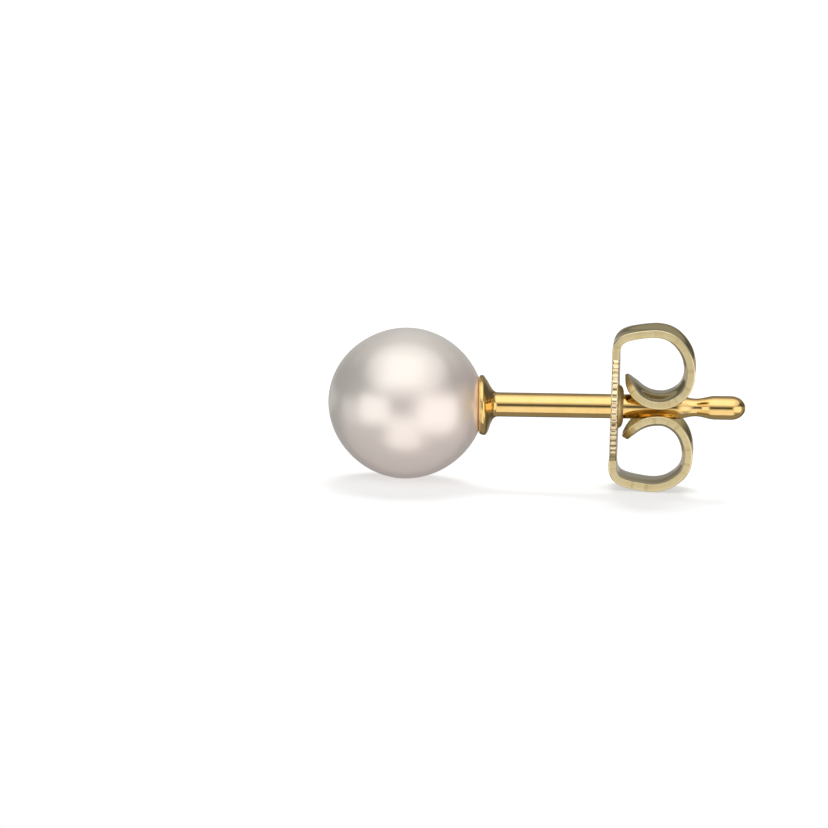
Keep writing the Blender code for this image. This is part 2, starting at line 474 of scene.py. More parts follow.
@dataclass
class Piece:
    """A finished mesh of one piece, before it becomes an object."""

    name: str
    points: np.ndarray
    faces: list[tuple[int, ...]]
    body: Body
    slot: Slot
    materials: list[bpy.types.Material]
    face_materials: list[int] | None = None
    marks: dict[str, np.ndarray] = field(default_factory=dict)
    crease: float = 40.0

    def place(self, matrix: Matrix) -> bpy.types.Object:
        """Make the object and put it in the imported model's place.

        Args:
            matrix: from the piece's own frame, in metres, to the model's.

        Returns:
            The object.
        """
        turned = np.array(matrix.to_3x3())
        world = self.points @ turned.T + np.array(matrix.translation)
        mesh = bpy.data.meshes.new(self.name)
        mesh.from_pydata([tuple(p) for p in world], [], self.faces)
        for material in self.materials:
            mesh.materials.append(material)
        if self.face_materials is not None:
            mesh.polygons.foreach_set("material_index", self.face_materials)
        marks = {"local": self.points / MM, **self.marks}
        for name, values in marks.items():
            layer = mesh.attributes.new(name, "FLOAT_VECTOR", "POINT")
            layer.data.foreach_set("vector", values.astype(np.float32).ravel())
        mesh.polygons.foreach_set("use_smooth", [True] * len(mesh.polygons))
        mesh.set_sharp_from_angle(angle=math.radians(self.crease))
        mesh.validate()
        mesh.update()
        made = bpy.data.objects.new(self.name, mesh)
        bpy.context.scene.collection.objects.link(made)
        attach(made, self.body.value)
        log.info("%s: %d faces on body %s", self.name, len(self.faces), self.body.value)
        return made


@dataclass
class Pearl:
    """The pearl: nearly round, a little longer along the post, drilled half way.

    No pearl is a true ball. The rows of uneven say how this one leaves its round form: how
    often the swelling comes back on the way round in the plane of the post, and its share
    of the radius along x and z.
    """

    half_length: float = 3.09 * MM
    radius: float = 3.00 * MM
    drill_depth: float = 3.00 * MM
    hole: float = 0.40 * MM
    chamfer: float = 0.05 * MM
    swelling: float = 0.0023
    ripple: float = 0.0016 * MM
    uneven: tuple[tuple[float, float], ...] = (
        (0.0100, 0.0009), (0.0010, -0.0032), (0.0003, 0.0003), (0.0040, -0.0022))
    sides: int = 144
    rings: int = 96

    def skin(self, points: np.ndarray) -> np.ndarray:
        """Carry points of the round form to the pearl's own uneven form.

        Args:
            points: points of the round form.

        Returns:
            The moved points.
        """
        way = points / np.maximum(np.linalg.norm(points, axis=1), 1e-9)[:, None]
        turn = way[:, 0] + 1j * way[:, 2]
        share = np.full(len(points), self.swelling)
        for order, (along, up) in enumerate(self.uneven, 1):
            share += along * (turn**order).real + up * (turn**order).imag
        chance = np.random.default_rng(5)
        for _ in range(9):
            push = chance.normal(size=3)
            push *= chance.uniform(4.0, 9.0) / np.linalg.norm(push)
            share += self.ripple / self.radius * np.sin(way @ push + chance.uniform(0.0, 6.28))
        return points * (1 + share)[:, None]

    def face(self, radius: np.ndarray, turn: np.ndarray) -> np.ndarray:
        """How far along the post the pearl's face is.

        Args:
            radius: distances from the post's axis.
            turn: angles round it, from the top to the front.

        Returns:
            The places along the post.
        """
        start = radius
        for _ in range(4):
            x = self.half_length * np.sqrt(1 - (start / self.radius) ** 2)
            flat = np.column_stack([x, start * np.sin(turn), start * np.cos(turn)])
            real = self.skin(flat)
            start = start * radius / np.hypot(real[:, 1], real[:, 2])
        return real[:, 0]

    def profile(self) -> Profile:
        """Draw the outline from the far end round to the drilled hole and down to its floor.

        Returns:
            The profile.
        """
        lip = self.hole + self.chamfer
        mouth = math.asin(lip / self.radius)
        turns = np.linspace(math.pi, mouth, self.rings + 1)
        run = [(self.half_length * math.cos(t), self.radius * math.sin(t)) for t in turns]
        floor = self.half_length - self.drill_depth
        run += [(run[-1][0] - 0.6 * self.chamfer, self.hole), (floor + self.hole / 2, self.hole)]
        return [*run, (floor, 0.0)]

    def build(self, placement: Placement, finish: Nacre) -> bpy.types.Object:
        """Make the pearl.

        Args:
            placement: where the earring stands.
            finish: the pearl's skin.

        Returns:
            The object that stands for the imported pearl.
        """
        points, faces = lathe(self.profile(), self.sides)
        piece = Piece("pearl_skin", self.skin(points), faces, Body.STUD, Slot.NACRE,
                      [finish.build()])
        made = piece.place(placement.matrix)
        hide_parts("pearl")
        return made


# The cup's flare behind its bead: how far behind the bead's middle, and the radius, in mm.
FLARE = ((0.086, 1.164), (0.124, 1.112), (0.170, 1.042), (0.224, 0.955), (0.285, 0.845),
         (0.344, 0.735), (0.395, 0.655), (0.443, 0.592), (0.500, 0.538), (0.570, 0.500),
         (0.640, 0.4875))


@dataclass
class PostAndCup:
    """Peg, cup with a beaded rim, post, groove and nose, soldered into one."""

    pearl: Pearl
    glue_gap: float = 0.015 * MM
    peg_radius: float = 0.35 * MM
    peg_length: float = 2.60 * MM
    bead_radius: float = 1.085 * MM
    bead: float = 0.120 * MM
    seat_radius: float = 0.93 * MM
    tip_over: float = 0.040 * MM
    sag: float = 0.030 * MM
    radius: float = 0.487 * MM
    length: float = 10.49 * MM
    groove_depth: float = 0.124 * MM
    groove_length: float = 1.62 * MM
    groove_from_tip: float = 1.99 * MM
    nose_length: float = 0.58 * MM
    nose_radius: float = 0.476 * MM
    sides: int = 128

    def cup_profile(self) -> Profile:
        """Peg and cup, from the peg's end over the bead and down the flare.

        The places along the post are counted from the pearl's face at the same radius, or
        from its face under the bead for the bead and the flare.

        Returns:
            The profile, up to where the post goes on with its own radius.
        """
        end = -self.peg_length
        chamfer = self.peg_radius / 4
        run = [(end, 0.0), (end, self.peg_radius - chamfer), (end + chamfer, self.peg_radius)]
        for share in np.linspace(0.0, 1.0, 9):
            run.append((0.0, self.peg_radius + share * (self.seat_radius - self.peg_radius)))
        for turn in np.linspace(1.12 * math.pi, 0.22 * math.pi, 29):
            run.append((self.bead * (1 + math.cos(turn)),
                        self.bead_radius + self.bead * math.sin(turn)))
        rows = np.array(FLARE) * MM + np.array([self.bead, 0.0])
        return run + [tuple(row) for row in through(rows, 4)]

    def post_profile(self, start: float) -> Profile:
        """Post, groove and rounded nose, up to the tip.

        Args:
            start: where the flare ends.

        Returns:
            The profile from there on.
        """
        tip = self.pearl.half_length + self.length
        middle = tip - self.groove_from_tip
        first = middle - self.groove_length / 2
        run = [(start + (first - start) * k / 24, self.radius) for k in range(1, 24)]
        for along in np.linspace(-0.5, 0.5, 37):
            deep = self.groove_depth * (1 + math.cos(2 * math.pi * along)) / 2
            wall = self.radius + (self.nose_radius - self.radius) * (along + 0.5)
            run.append((middle + self.groove_length * along, wall - deep))
        for turn in np.linspace(0.0, math.pi / 2, 22)[:-1]:
            x = tip - self.nose_length * (1 - math.sin(turn))
            run.append((x, self.nose_radius * math.cos(turn)))
        return [*run, (tip, 0.0)]

    def seated(self, points: np.ndarray, last: int) -> np.ndarray:
        """Move the cup's points on to the pearl's own face, a little tipped and sagging.

        Args:
            points: the points of the turned profile.
            last: how many of them belong to the peg and the cup.

        Returns:
            The moved points.
        """
        moved = points.copy()
        cup = points[:last]
        radius = np.hypot(cup[:, 1], cup[:, 2])
        turn = np.arctan2(cup[:, 1], cup[:, 2])
        under = np.minimum(np.maximum(radius, self.peg_radius), self.bead_radius)
        is_bead = (cup[:, 0] > 0) | (radius > self.seat_radius + 0.01 * MM)
        under = np.where(is_bead, self.bead_radius, under)
        face = self.pearl.face(under, turn) + self.glue_gap
        foot = self.pearl.face(np.full(1, self.peg_radius), np.zeros(1))[0] + self.glue_gap
        face = np.where(cup[:, 0] < -0.01 * MM, foot, face)
        share = np.clip((radius - self.radius) / (self.bead_radius - self.radius), 0.0, 1.0)
        share = np.where(is_bead, share, 1.0)
        level = self.pearl.face(np.full(1, self.bead_radius), np.zeros(1))[0] + self.glue_gap
        moved[:last, 0] = cup[:, 0] + level + (face - level) * share
        edge = np.where(is_bead, share, 0.0)
        free = np.clip(cup[:, 0] / self.bead, 0.0, 1.0)
        moved[:last, 0] += edge * free * self.tip_over * (1 - cup[:, 2] / self.bead_radius)
        moved[:last, 2] -= edge * self.sag
        return moved

    def build(self, placement: Placement, finish: PolishedGold) -> bpy.types.Object:
        """Make the post and its cup.

        Args:
            placement: where the earring stands.
            finish: the yellow gold.

        Returns:
            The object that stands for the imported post.
        """
        cup = self.cup_profile()
        level = self.pearl.face(np.full(1, self.bead_radius), np.zeros(1))[0] + self.glue_gap
        points, faces = lathe(cup + self.post_profile(cup[-1][0] + level), self.sides)
        points = self.seated(points, 1 + (len(cup) - 1) * self.sides)
        piece = Piece("gold_post", points, faces, Body.STUD, Slot.POST_GOLD,
                      [finish.build()], crease=30.0)
        made = piece.place(placement.matrix)
        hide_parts("post_and_cup")
        return made


# A wing's cut edge seen from its side, from the plate round to the free end by the post.
# reach: share of the nut's depth, behind the plate. rise: share of the wing's rise,
# away from the post. width: share of the wing's width. press: share of the channel's depth.
WING_ROWS = (
    # reach, rise, width, press
    (0.000, 0.590, 0.86, 0.00),
    (0.000, 0.715, 0.86, 0.03),
    (0.013, 0.806, 0.86, 0.10),
    (0.054, 0.876, 0.86, 0.20),
    (0.128, 0.927, 0.86, 0.28),
    (0.262, 0.965, 0.86, 0.36),
    (0.430, 0.992, 0.86, 0.42),
    (0.550, 1.000, 0.87, 0.46),
    (0.700, 0.967, 0.88, 0.50),
    (0.833, 0.880, 0.90, 0.55),
    (0.948, 0.735, 0.92, 0.60),
    (1.000, 0.550, 0.94, 0.66),
    (0.990, 0.360, 0.97, 0.74),
    (0.930, 0.200, 0.99, 0.84),
    (0.830, 0.087, 1.00, 0.92),
    (0.700, 0.015, 1.00, 0.98),
    (0.600, 0.000, 1.00, 1.00),
    (0.450, 0.020, 1.00, 0.98),
    (0.322, 0.090, 0.99, 0.86),
    (0.260, 0.160, 0.95, 0.70),
    (0.214, 0.230, 0.82, 0.45),
    (0.184, 0.284, 0.62, 0.22),
    (0.166, 0.326, 0.38, 0.08),
    (0.158, 0.352, 0.14, 0.00),
)


@dataclass
class Wing:
    """One wing of the nut: its own measures, and the line of the sheet's middle.

    The line starts in the plate's middle. Its columns are s, x, z, half width and press.
    """

    foot: float
    rise: float
    channel: float
    ridge: float
    tip_ahead: float
    tip_rise: float
    belly: float
    depth: float
    width: float
    sheet: float
    spread: float = 0.11 * MM
    line: np.ndarray = field(init=False)

    def __post_init__(self) -> None:
        """Work out the line."""
        rows = np.array(WING_ROWS)
        x = self.sheet / 2 + rows[:, 0] * (self.depth - self.sheet)
        foot = self.foot - self.channel
        z = foot + rows[:, 1] * self.rise
        curl = np.clip((np.arange(len(rows)) - len(rows) + 7) / 6, 0.0, 1.0)
        swing = 4 * rows[:, 1] * (1 - rows[:, 1]) * np.clip((rows[:, 0] - 0.7) / 0.3, 0.0, 1.0)
        x, z = x - self.tip_ahead * curl, z + self.tip_rise * curl + self.belly * swing
        wing = np.column_stack([x, z, rows[:, 2] * self.width / 2, rows[:, 3]])
        plate = np.column_stack([np.full(40, wing[0, 0]), np.linspace(0, wing[0, 1], 41)[:-1],
                                 np.full(40, wing[0, 2]), np.zeros(40)])
        run = np.vstack([plate, through(wing, 24)])
        s = np.concatenate([[0.0], np.cumsum(np.hypot(*np.diff(run[:, :2], axis=0).T))])
        even = np.linspace(0.0, s[-1], 1600)
        fine = np.column_stack([np.interp(even, s, run[:, k]) for k in range(4)])
        self.line = np.column_stack([even, self.eased(fine, even[1])])

    def eased(self, rows: np.ndarray, step: float) -> np.ndarray:
        """Smooth the rows a little, as a press does.

        Args:
            rows: x, z, half width and press at even steps.
            step: how far apart the rows are.

        Returns:
            The smoothed rows.
        """
        reach = int(3 * self.spread / step)
        weights = np.exp(-0.5 * (np.arange(-reach, reach + 1) * step / self.spread) ** 2)
        weights /= weights.sum()
        before = rows[1:reach + 1][::-1] * np.array([1.0, -1.0, 1.0, 1.0])
        after = 2 * rows[-1] - rows[-reach - 1:-1][::-1]
        padded = np.vstack([before, rows, after])
        return np.column_stack([np.convolve(padded[:, k], weights, "valid") for k in range(4)])

    @property
    def length(self) -> float:
        """How long the line is."""
        return float(self.line[-1, 0])


@dataclass
class Strip:
    """The nut's mesh as it grows: each point is drawn on the flat pattern and then bent."""

    bend: Callable[[np.ndarray, np.ndarray, np.ndarray], np.ndarray]
    points: list[np.ndarray] = field(default_factory=list)
    flats: list[np.ndarray] = field(default_factory=list)
    faces: list[tuple[int, ...]] = field(default_factory=list)
    kinds: list[int] = field(default_factory=list)
    total: int = 0

    def add(self, s: np.ndarray, y: np.ndarray, h: np.ndarray) -> np.ndarray:
        """Add points.

        Args:
            s: their places along the strip.
            y: their places across it.
            h: their heights on the sheet's middle.

        Returns:
            Their numbers.
        """
        self.points.append(self.bend(s, y, h))
        self.flats.append(np.column_stack([s, y, h]))
        self.total += len(s)
        return np.arange(self.total - len(s), self.total)

    def join(self, here: np.ndarray, there: np.ndarray, closed: bool,
             kinds: list[int] | None = None) -> None:
        """Join two rows of points with faces.

        Args:
            here: the numbers of one row.
            there: the numbers of the other row, as many.
            closed: whether the rows go all the way round.
            kinds: the kind of each face, where they aren't plain sheet.
        """
        after_here, after_there = np.roll(here, -1), np.roll(there, -1)
        count = len(here) if closed else len(here) - 1
        corners = np.column_stack([here, after_here, after_there, there])[:count]
        self.faces += [tuple(row) for row in corners.tolist()]
        self.kinds += kinds or [NutFace.SHEET.value] * count


@dataclass
class EarNut:
    """The scroll nut: one stamped strip, drawn flat first and then bent to its shape.

    The flat pattern has s along the strip, 0 in the plate's middle, and y across it. Its
    height h stands on the sheet's middle, towards the outside of the bend, which is the
    plate's front. The two wings aren't bent quite alike.
    """

    post_radius: float
    sheet: float = 0.31 * MM
    plate_radius: float = 2.40 * MM
    wing_width: float = 2.84 * MM
    depth: float = 3.34 * MM
    # rise, channel, ridge, how far the tip reaches ahead and rises, swing of the belly
    upper_wing: tuple[float, ...] = (
        2.858 * MM, 0.440 * MM, 0.230 * MM, 0.055 * MM, 0.045 * MM, -0.12 * MM)
    lower_wing: tuple[float, ...] = (
        2.762 * MM, 0.384 * MM, 0.190 * MM, 0.060 * MM, -0.045 * MM, 0.12 * MM)
    front_wear: float = 0.03 * MM
    gap: float = 0.02 * MM
    seat: float = 8.20 * MM
    lean: float = math.radians(1.1)
    dimple_mouth: float = 0.80 * MM
    collar_radius: float = 0.87 * MM
    collar_wall: float = 0.13 * MM
    collar_rise: float = 0.20 * MM
    corner: float = 0.045 * MM
    neck_fill: float = 0.05 * MM
    neck_share: float = 0.72
    # how far the plate's round rim still shows in a wing's rows, and the fillets beside it
    arc_fade: float = 0.35 * MM
    fill_fade: float = 0.25 * MM
    # how much thinner the upper and the lower free end are, and how far their ends are shaped
    pinch: tuple[float, float] = (0.45, 0.05)
    pinch_reach: float = 0.45 * MM
    bow: float = 0.10 * MM
    bow_reach: float = 0.40 * MM
    rays: int = 56
    ray_depth: float = 0.050 * MM
    ray_fade: float = 0.35 * MM
    scallop: float = 0.024 * MM
    ray_steps: int = 8
    plate_steps: tuple[int, int] = (22, 10)
    wing_steps: int = 130
    upper: Wing = field(init=False)
    lower: Wing = field(init=False)

    def __post_init__(self) -> None:
        """Work out the two wings, the rays, and where the wings leave the plate's rim."""
        touch = min(WING_ROWS, key=lambda row: row[1])
        foot = (self.post_radius + self.gap + self.sheet / 2
                + touch[0] * self.depth * math.sin(self.lean))
        self.upper, self.lower = (
            Wing(foot, *measures, self.depth, self.wing_width, self.sheet)
            for measures in (self.upper_wing, self.lower_wing))
        self.sides = self.rays * self.ray_steps
        self.turns = 2 * np.pi * np.arange(self.sides) / self.sides
        self.rim = self.plate_radius - self.corner
        neck = self.at(np.array([self.rim]), 3)[0] - self.corner + self.neck_fill
        self.first = int(round(math.acos(neck / self.rim) / (2 * math.pi) * self.sides))
        off_neck = np.abs(np.sin(self.turns)) - math.sin(self.turns[self.first])
        self.in_neck = np.clip(off_neck / 0.05, 0.0, 1.0)
        wave = 0.5 + 0.5 * np.cos(self.turns * self.rays)
        chance = np.random.default_rng(11).uniform(0.45, 1.0, self.rays)
        bite = np.roll(np.repeat(chance, self.ray_steps), self.ray_steps // 2)
        self.cut = bite * (1 - wave)

    def at(self, s: np.ndarray, column: int) -> np.ndarray:
        """One column of the wings' lines at places s of the flat pattern."""
        away = np.abs(s)
        return np.where(s < 0, np.interp(away, self.lower.line[:, 0], self.lower.line[:, column]),
                        np.interp(away, self.upper.line[:, 0], self.upper.line[:, column]))

    def relief(self, s: np.ndarray, y: np.ndarray) -> tuple[np.ndarray, np.ndarray]:
        """How far the press moves the two faces of the sheet.

        Args:
            s: places along the strip.
            y: places across it.

        Returns:
            The drop of the outer face and of the inner face.
        """
        across = np.clip(np.abs(y) / self.at(s, 3), 0.0, 1.0)
        rise = np.clip((0.86 - across) / 0.56, 0.0, 1.0)
        shape = self.at(s, 4) * rise**2 * (3 - 2 * rise)
        channel = np.where(s < 0, self.lower.channel, self.upper.channel)
        ridge = np.where(s < 0, self.lower.ridge, self.upper.ridge)
        return channel * shape, ridge * shape

    def bent(self, s: np.ndarray, y: np.ndarray, h: np.ndarray) -> np.ndarray:
        """Carry places of the flat pattern to the bent strip.

        Args:
            s: places along the strip.
            y: places across it.
            h: heights on the sheet's middle.

        Returns:
            The points in the nut's own frame.
        """
        way = np.where(s < 0, -1.0, 1.0)
        away = np.abs(s)
        step = 0.02 * MM
        limit = np.where(s < 0, self.lower.length, self.upper.length)
        ahead = way * np.minimum(away + step, limit)
        behind = way * np.maximum(away - step, 0.0)
        along_x = self.at(ahead, 1) - self.at(behind, 1)
        along_z = self.at(ahead, 2) - self.at(behind, 2)
        size = np.hypot(along_x, along_z)
        x = self.at(s, 1) - h * along_z / size
        z = self.at(s, 2) + h * along_x / size
        return np.column_stack([x, y, way * z])

    def hub_profile(self) -> Profile:
        """Draw the section from the dimple through the hole and back over the collar.

        Returns:
            Each point's radius, and its depth behind the plate's front.
        """
        hole = self.post_radius + self.gap
        back = self.sheet + self.collar_rise
        lip = hole + self.collar_wall
        rows = np.array([
            (self.dimple_mouth * 1.08, 0.0),
            (self.dimple_mouth * 1.01, 0.01 * self.sheet),
            (self.dimple_mouth * 0.93, 0.09 * self.sheet),
            ((self.dimple_mouth + hole) / 2, 0.27 * self.sheet),
            (hole * 1.10, 0.62 * self.sheet),
            (hole, self.sheet),
            (hole, back - 0.03 * MM),
            (hole + 0.03 * MM, back),
            (lip - 0.03 * MM, back - 0.004 * MM),
            (self.collar_radius - 0.14 * MM, back - 0.035 * MM),
            (self.collar_radius - 0.06 * MM, back - 0.085 * MM),
            (self.collar_radius - 0.015 * MM, back - 0.145 * MM),
            (self.collar_radius + 0.005 * MM, self.sheet + 0.015 * MM),
            (self.collar_radius * 1.07, self.sheet),
        ])
        return [tuple(row) for row in through(rows, 3)]

    def hub(self, strip: Strip) -> list[np.ndarray]:
        """Draw the dimple, the hole and the collar.

        Args:
            strip: the mesh that they are added to.

        Returns:
            The numbers of each ring, from the plate's front through to its back.
        """
        rings = []
        for radius, depth in self.hub_profile():
            h = np.full(self.sides, self.sheet / 2 - max(depth, self.front_wear))
            rings.append(strip.add(radius * np.sin(self.turns), radius * np.cos(self.turns), h))
        for here, there in zip(rings, rings[1:]):
            strip.join(here, there, True)
        return rings

    def plate_face(self, strip: Strip, side: int, ring: np.ndarray) -> np.ndarray:
        """Draw one face of the plate, from the hub out to the rim.

        Args:
            strip: the mesh that it is added to.
            side: 1 for the front, with its rays, and -1 for the back.
            ring: the numbers of the hub's ring on that face.

        Returns:
            The numbers of the face's outermost ring.
        """
        start, steps = self.hub_profile()[0 if side > 0 else -1][0], self.plate_steps[side < 0]
        here = ring
        for share in np.linspace(0.0, 1.0, steps + 1)[1:]:
            r = start + (self.rim - start) * share
            free = r - self.scallop * 2 * self.cut * share**4 * (1 - self.in_neck)
            s, y = free * np.sin(self.turns), free * np.cos(self.turns)
            drop = self.relief(s, y)
            if side > 0:
                grow = np.clip((r - start) / self.ray_fade, 0.0, 1.0)
                past = np.clip((share - self.neck_share) / (1 - self.neck_share), 0.0, 1.0)
                near = self.in_neck * past
                h = self.sheet / 2 - self.ray_depth * grow * (1 - near) * self.cut
                h = h - drop[0] * self.in_neck - self.front_wear * (1 - near)
            else:
                h = np.full(self.sides, -self.sheet / 2) - drop[1] * self.in_neck
            there = strip.add(s, y, h)
            strip.join(*((there, here) if side > 0 else (here, there)), True)
            here = there
        return here

    def wing_face(self, strip: Strip, way: int, side: int, ring: np.ndarray) -> list[np.ndarray]:
        """Draw one face of a wing.

        Args:
            strip: the mesh that it is added to.
            way: 1 for the upper wing, -1 for the lower one.
            side: 1 for the outer face, -1 for the inner one.
            ring: the numbers of the plate's outermost ring on that face.

        Returns:
            The numbers of each row, from the plate's rim to the free end.
        """
        columns = np.arange(self.first, self.sides // 2 - self.first + 1)
        across = np.cos(self.turns[columns]) / math.cos(self.turns[self.first])
        arc = self.rim * (np.sin(self.turns[columns]) - 1)
        end = (self.upper if way > 0 else self.lower).length - self.corner
        rows = [ring[columns if way > 0 else (-columns) % self.sides]]
        for share in np.linspace(0.0, 1.0, self.wing_steps + 1)[1:]:
            middle = self.rim + (end - self.rim) * share
            near = math.exp(-((middle - self.rim) / self.arc_fade) ** 2)
            tip = max(0.0, 1 - (end - middle) / self.bow_reach)
            s = way * (middle + arc * near - self.bow * tip**2 * across**2)
            fill = self.neck_fill * math.exp(-(middle - self.rim) / self.fill_fade)
            y = across * (self.at(s, 3) - self.corner + fill)
            thin = max(0.0, 1 - (end - middle) / self.pinch_reach) ** 1.5
            half = (1 - self.pinch[way < 0] * thin) * self.sheet / 2
            there = strip.add(s, y, side * half - self.relief(s, y)[side < 0])
            strip.join(*((there, rows[-1]) if side * way > 0 else (rows[-1], there)), False)
            rows.append(there)
        return rows

    def border(self, ring: np.ndarray, upper: list[np.ndarray],
               lower: list[np.ndarray]) -> np.ndarray:
        """Follow one face's border, once round the flat pattern.

        Args:
            ring: the numbers of the plate's outermost ring on that face.
            upper: the numbers of the upper wing's rows.
            lower: the numbers of the lower wing's rows.

        Returns:
            The numbers of the points on the border.
        """
        first, sides = self.first, self.sides
        return np.concatenate([
            ring[(np.arange(-first, first)) % sides],
            [row[0] for row in upper],
            upper[-1][1:-1],
            [row[-1] for row in upper[::-1]],
            ring[np.arange(sides // 2 - first + 1, sides // 2 + first)],
            [row[-1] for row in lower],
            lower[-1][-2:0:-1],
            [row[0] for row in lower[:0:-1]],
        ]).astype(int)

    def edge(self, strip: Strip, outer: np.ndarray,
             inner: np.ndarray) -> tuple[np.ndarray, list[np.ndarray]]:
        """Draw the cut edge, with its corners rounded, between the borders of the two faces.

        Args:
            strip: the mesh that it is added to.
            outer: the numbers of the outer face's border.
            inner: the numbers of the inner face's border.

        Returns:
            How far round the border each of its points lies, and the numbers of the rows.
        """
        pattern = np.vstack(strip.flats)
        place = pattern[outer, :2]
        ahead = np.roll(place, -1, axis=0) - np.roll(place, 1, axis=0)
        ahead /= np.linalg.norm(ahead, axis=1)[:, None]
        out = np.column_stack([-ahead[:, 1], ahead[:, 0]])
        out *= np.sign(np.sum(out[:1] * place[:1]))
        steps = np.linalg.norm(np.diff(place, axis=0), axis=1)
        length = np.concatenate([[0.0], np.cumsum(steps)])
        top, bottom = pattern[outer, 2], pattern[inner, 2]
        on_rim = np.hypot(place[:, 0], place[:, 1]) < self.rim + 0.01 * MM
        kinds = np.where(on_rim, NutFace.RIM.value, NutFace.CUT_EDGE.value).tolist()
        round_in = np.linspace(0.0, np.pi / 2, 5)[1:]
        stations = [(math.sin(t), 1, 1 - math.cos(t)) for t in round_in]
        stations += [(1.0, 0, 0.0)]
        stations += [(math.sin(t), -1, 1 - math.cos(t)) for t in round_in[::-1]]
        rows = [outer]
        for reach, side, sunk in stations:
            level = {1: top, 0: (top + bottom) / 2, -1: bottom}[side]
            spot = place + out * self.corner * reach
            there = strip.add(spot[:, 0], spot[:, 1], level - side * self.corner * sunk)
            strip.join(there, rows[-1], True, kinds if side <= 0 else None)
            rows.append(there)
        strip.join(inner, rows[-1], True)
        return length, rows[1:]

    def build(self, placement: Placement,
              finishes: tuple[StampedGold, ShearedEdge, ShearedEdge]) -> bpy.types.Object:
        """Make the ear nut.

        Args:
            placement: where the earring stands.
            finishes: the finish of its faces, of its cut edge and of the plate's rim.

        Returns:
            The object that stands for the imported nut.
        """
        strip = Strip(self.bent)
        rings = self.hub(strip)
        plate = {side: self.plate_face(strip, side, rings[0 if side > 0 else -1])
                 for side in (1, -1)}
        wings = {(way, side): self.wing_face(strip, way, side, plate[side])
                 for way in (1, -1) for side in (1, -1)}
        outer, inner = (self.border(plate[side], wings[1, side], wings[-1, side])
                        for side in (1, -1))
        length, rows = self.edge(strip, outer, inner)

        # On the edge, run says how far round a point lies; elsewhere, how much it is worn.
        points, flat = np.vstack(strip.points), np.vstack(strip.flats)
        run = np.zeros_like(points)
        run[:, 1] = self.at(flat[:, 0], 4) * (flat[:, 2] > -0.6 * self.sheet)
        run[np.concatenate([*wings[1, -1], *wings[-1, -1]]), 1] = 0.0
        run[np.concatenate(rings), 1] = 1.0
        for ids in (outer, inner, *rows):
            run[ids] = np.column_stack([length / MM, np.zeros((len(length), 2))])
        own = Matrix.Translation((self.seat, 0.0, 0.0)) @ Matrix.Rotation(self.lean, 4, "Y")
        piece = Piece("scroll_nut", points, strip.faces, Body.NUT, Slot.NUT_GOLD,
                      [finish.build() for finish in finishes], strip.kinds, {"run": run},
                      crease=60.0)
        made = piece.place(placement.matrix @ own)
        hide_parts("ear_nut")
        return made


@dataclass
class Softbox:
    """A soft light of the studio, as a patch of the surroundings.

    Azimuth 0 is where the camera stands, and it grows to the right of the picture.
    """

    azimuth: float
    elevation: float
    half_width: float
    half_height: float
    level: float
    side_soft: float = 0.2
    top_soft: float = 0.2
    foot_soft: float = 0.2

    def mask(self, bench: Bench, direction: bpy.types.NodeSocket) -> bpy.types.NodeSocket:
        """Make the patch.

        Args:
            bench: the world's node tree.
            direction: the direction that is looked at.

        Returns:
            How bright the patch is in that direction.
        """
        a, e = math.radians(self.azimuth), math.radians(self.elevation)
        centre = (math.sin(a) * math.cos(e), -math.cos(a) * math.cos(e), math.sin(e))
        right = (math.cos(a), math.sin(a), 0.0)
        up = tuple(Vector(right).cross(Vector(centre)) * -1)

        def off(axis: tuple[float, float, float], half: float) -> bpy.types.NodeSocket:
            """Measure how far the direction is off the middle.

            Args:
                axis: along which axis.
                half: half the patch's size along it, in degrees.

            Returns:
                The distance, with the patch's edge at 1.
            """
            node = bench.add("VectorMath", {0: direction, 1: axis}, operation="DOT_PRODUCT")
            share = bench.maths("DIVIDE", node.outputs["Value"], ahead)
            return bench.maths("DIVIDE", share, math.tan(math.radians(half)))

        def inside(value: bpy.types.NodeSocket, soft: float) -> bpy.types.NodeSocket:
            """1 inside the patch, 0 outside, with a soft edge."""
            return bench.ranged(value, 1 - soft, 1 + soft, 1.0, 0.0)

        node = bench.add("VectorMath", {0: direction, 1: centre}, operation="DOT_PRODUCT")
        ahead = bench.maths("MAXIMUM", node.outputs["Value"], 0.001)
        across, along = off(right, self.half_width), off(up, self.half_height)
        patch = inside(bench.maths("ABSOLUTE", across), self.side_soft)
        patch = bench.maths("MULTIPLY", patch, inside(along, self.top_soft))
        down = bench.maths("MULTIPLY", along, -1.0)
        patch = bench.maths("MULTIPLY", patch, inside(down, self.foot_soft))
        return bench.maths("MULTIPLY", patch, self.level)


